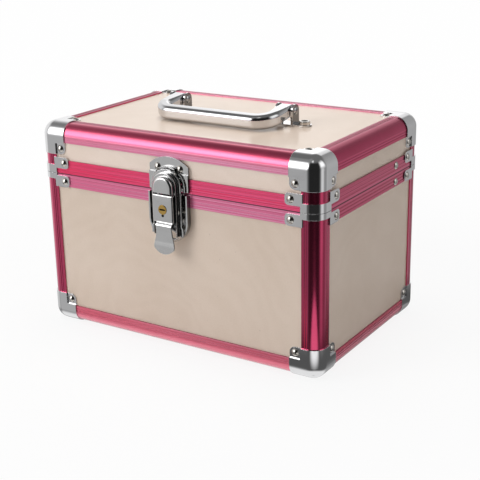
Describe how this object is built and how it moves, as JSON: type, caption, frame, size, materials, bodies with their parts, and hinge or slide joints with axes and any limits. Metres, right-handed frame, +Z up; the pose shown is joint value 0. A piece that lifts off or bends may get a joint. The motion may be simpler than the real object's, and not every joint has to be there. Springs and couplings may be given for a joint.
{
  "type": "makeup storage case with handle",
  "caption": "Rectangular makeup case: framed panel body, hinged lid with stay, folding handle on top and a keyed draw latch on the front.",
  "frame": {"origin": "middle of the footprint, on the plane that the base caps stand on", "axes": "+X to the case's right seen from its front, along its width; -Y out of the front, where the latch is; +Z up"},
  "size_m": [0.2428, 0.1739, 0.1734],
  "materials": {
    "board": "cream pearl laminate on thin board, faint swirling grain",
    "section": "satin pink anodised extrusion with fine lines",
    "corner": "bright nickel-chrome plated pressed steel",
    "rivet": "plated domed rivets",
    "fitting": "bright plated pressed steel",
    "handle": "bright chrome-plated cast light metal",
    "plug": "polished brass",
    "lining": "dark flocked lining sheet"
  },
  "bodies": {
    "case_body": {"base_panel": "board", "body_front_panel": "board", "body_right_panel": "board", "body_back_panel": "board", "body_left_panel": "board", "base_edge_front": "section", "base_edge_right": "section", "base_edge_back": "section", "base_edge_left": "section", "post_front_left": "section", "post_front_right": "section", "post_back_right": "section", "post_back_left": "section", "body_rim_front": "section", "body_rim_right": "section", "body_rim_back": "section", "body_rim_left": "section", "base_cap_front_left": "corner", "base_cap_front_right": "corner", "base_cap_back_right": "corner", "base_cap_back_left": "corner", "body_brackets": "corner", "body_rivets": "rivet", "body_lining": "lining", "latch_base": "fitting", "latch_pivot_pin": "fitting", "hinge_body_leaves": "fitting", "hinge_pins": "fitting"},
    "lid": {"top_panel": "board", "lid_front_panel": "board", "lid_right_panel": "board", "lid_back_panel": "board", "lid_left_panel": "board", "top_edge_front": "section", "top_edge_right": "section", "top_edge_back": "section", "top_edge_left": "section", "lid_rim_front": "section", "lid_rim_right": "section", "lid_rim_back": "section", "lid_rim_left": "section", "lid_posts": "section", "top_cap_front_left": "corner", "top_cap_front_right": "corner", "top_cap_back_right": "corner", "top_cap_back_left": "corner", "lid_brackets": "corner", "lid_rivets": "rivet", "lid_lining": "lining", "strike_plate": "fitting", "hinge_lid_leaves": "fitting", "handle_brackets": "fitting", "handle_pins": "fitting"},
    "handle": {"handle": "handle"},
    "lid_stay": {"lid_stay": "fitting"},
    "latch_lever": {"latch_lever": "fitting"},
    "latch_claw": {"latch_claw": "fitting", "claw_rivets": "rivet"},
    "lock_plug": {"lock_plug": "plug"}
  },
  "joints": [
    {"name": "lid_hinge", "type": "hinge", "parent": "case_body", "child": "lid", "pos_m": [0, 0.08445, 0.1212], "axis": [-1, 0, 0], "range_deg": [0, 100]},
    {"name": "stay_swing", "type": "hinge", "parent": "lid", "child": "lid_stay", "pos_m": [0.11205, 0.04135, 0.12735], "axis": [-1, 0, 0], "range_deg": [-50, 0]},
    {"name": "handle_swing", "type": "hinge", "parent": "lid", "child": "handle", "pos_m": [0, 0.00585, 0.16875], "axis": [-1, 0, 0], "range_deg": [0, 190]},
    {"name": "lever_swing", "type": "hinge", "parent": "case_body", "child": "latch_lever", "pos_m": [0, -0.08295, 0.1182], "axis": [-1, 0, 0], "range_deg": [0, 110]},
    {"name": "claw_swing", "type": "hinge", "parent": "latch_lever", "child": "latch_claw", "pos_m": [0, -0.08075, 0.1082], "axis": [-1, 0, 0], "range_deg": [-110, 0]},
    {"name": "lock_turn", "type": "hinge", "parent": "latch_lever", "child": "lock_plug", "pos_m": [0, -0.08675, 0.1104], "axis": [0, -1, 0], "range_deg": [0, 90]}
  ],
  "couplings": [
    {"joint": "stay_swing", "follows": "lid_hinge", "ratio": -0.5},
    {"joint": "claw_swing", "follows": "lever_swing", "ratio": -1}
  ]
}
